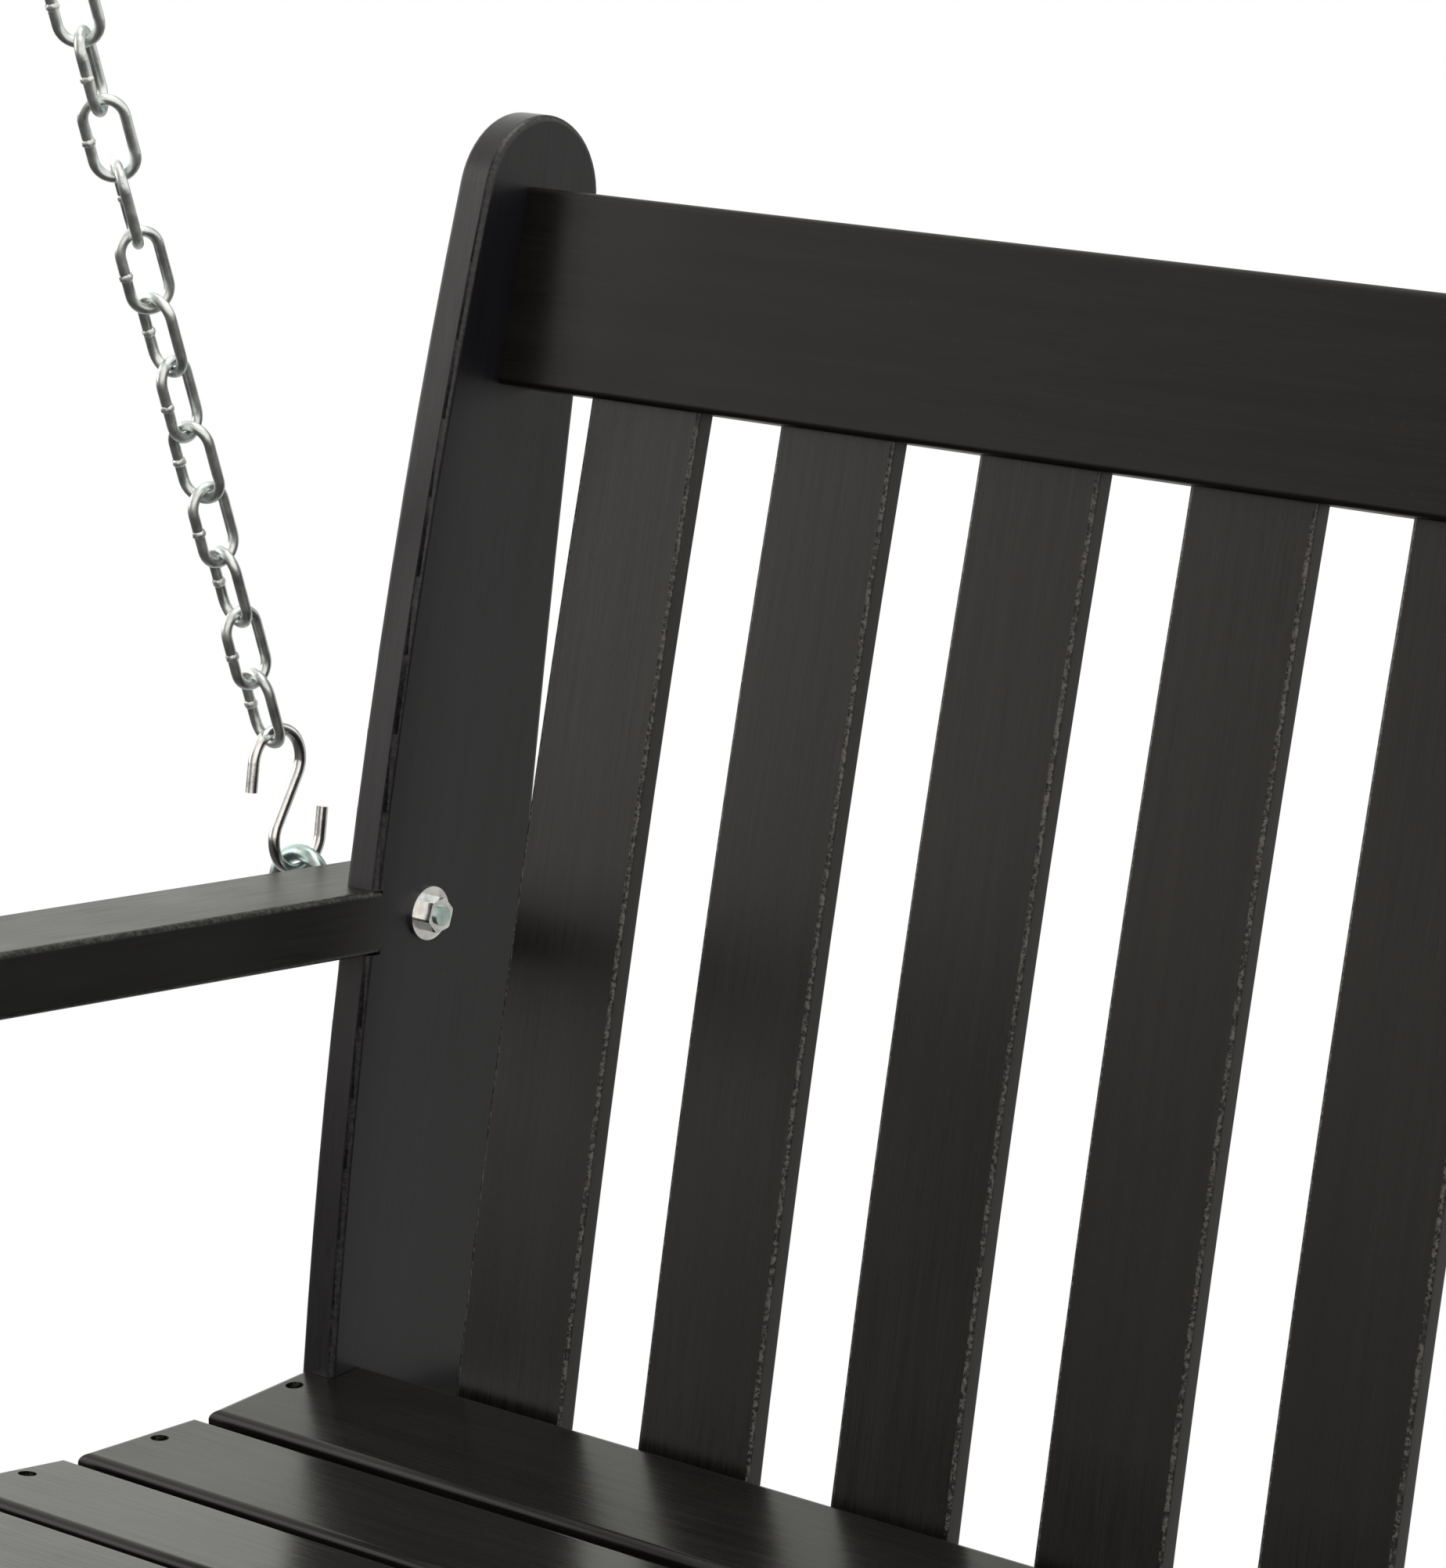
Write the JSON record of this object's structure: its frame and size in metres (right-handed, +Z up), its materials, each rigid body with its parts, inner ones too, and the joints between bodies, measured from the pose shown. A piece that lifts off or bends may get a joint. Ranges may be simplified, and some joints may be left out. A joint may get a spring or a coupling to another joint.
{
  "type": "porch swing",
  "caption": "Slatted porch swing bench of dark plastic lumber with arms, hung by chains from ceiling hangers that let it swing.",
  "frame": {"origin": "ceiling surface, midway between the two hangers, where the ceiling plates bear", "axes": "+Z up, +Y towards the back of the bench, +X along the bench towards the sitter's left hand"},
  "size_m": [1.377, 0.6665, 0.9552],
  "materials": {
    "plastic_lumber": "satin",
    "zinc_chain": "satin",
    "zinc_steel": "satin",
    "black_fixings": "satin",
    "black_steel": "satin",
    "nylon": "satin"
  },
  "bodies": {
    "ceiling": {"ceiling_plate_left": "black_steel", "ceiling_plate_right": "black_steel", "pivot_nuts": "zinc_steel", "pivot_pin_left": "zinc_steel", "pivot_pin_right": "zinc_steel"},
    "left_hanger": {"hanger_bush_left": "nylon", "hanger_link_left": "black_steel"},
    "right_hanger": {"hanger_bush_right": "nylon", "hanger_link_right": "black_steel"},
    "swing": {"arm_left": "plastic_lumber", "arm_right": "plastic_lumber", "arm_support_left": "plastic_lumber", "arm_support_right": "plastic_lumber", "back_post_left": "plastic_lumber", "back_post_right": "plastic_lumber", "back_slat_01": "plastic_lumber", "back_slat_02": "plastic_lumber", "back_slat_03": "plastic_lumber", "back_slat_04": "plastic_lumber", "back_slat_05": "plastic_lumber", "back_slat_06": "plastic_lumber", "back_slat_07": "plastic_lumber", "back_slat_08": "plastic_lumber", "back_slat_09": "plastic_lumber", "back_slat_10": "plastic_lumber", "chain_front_left": "zinc_chain", "chain_front_right": "zinc_chain", "chain_rear_left": "zinc_chain", "chain_rear_right": "zinc_chain", "eye_bolt_nuts": "zinc_steel", "eye_bolt_washers": "zinc_steel", "eye_bolts": "zinc_steel", "frame_bolts": "black_fixings", "frame_nuts": "black_fixings", "front_stretcher": "plastic_lumber", "head_rail": "plastic_lumber", "middle_bearer": "plastic_lumber", "rail_screws": "black_fixings", "rear_stretcher": "plastic_lumber", "s_hook_front_left": "zinc_steel", "s_hook_front_right": "zinc_steel", "s_hook_rear_left": "zinc_steel", "s_hook_rear_right": "zinc_steel", "seat_cleat_left": "plastic_lumber", "seat_cleat_right": "plastic_lumber", "seat_screws": "black_fixings", "seat_slat_1": "plastic_lumber", "seat_slat_2": "plastic_lumber", "seat_slat_3": "plastic_lumber", "seat_slat_4": "plastic_lumber", "seat_slat_5": "plastic_lumber", "seat_slat_6": "plastic_lumber", "side_rail_left": "plastic_lumber", "side_rail_right": "plastic_lumber", "slat_screws": "black_fixings", "stretcher_screws": "black_fixings", "top_ring_left": "zinc_steel", "top_ring_right": "zinc_steel"}
  },
  "joints": [
    {"name": "hanger_left", "type": "hinge", "parent": "ceiling", "child": "left_hanger", "pos_m": [-0.6585, 0, -0.026], "axis": [1, 0, 0], "range_deg": [-30, 30]},
    {"name": "hanger_right", "type": "hinge", "parent": "ceiling", "child": "right_hanger", "pos_m": [0.6585, 0, -0.026], "axis": [1, 0, 0], "range_deg": [-30, 30]},
    {"name": "bench_swing", "type": "hinge", "parent": "left_hanger", "child": "swing", "pos_m": [-0.6585, 0, -0.064], "axis": [1, 0, 0], "range_deg": [-15, 15]}
  ],
  "couplings": [
    {"joint": "hanger_right", "follows": "hanger_left", "ratio": 1}
  ]
}
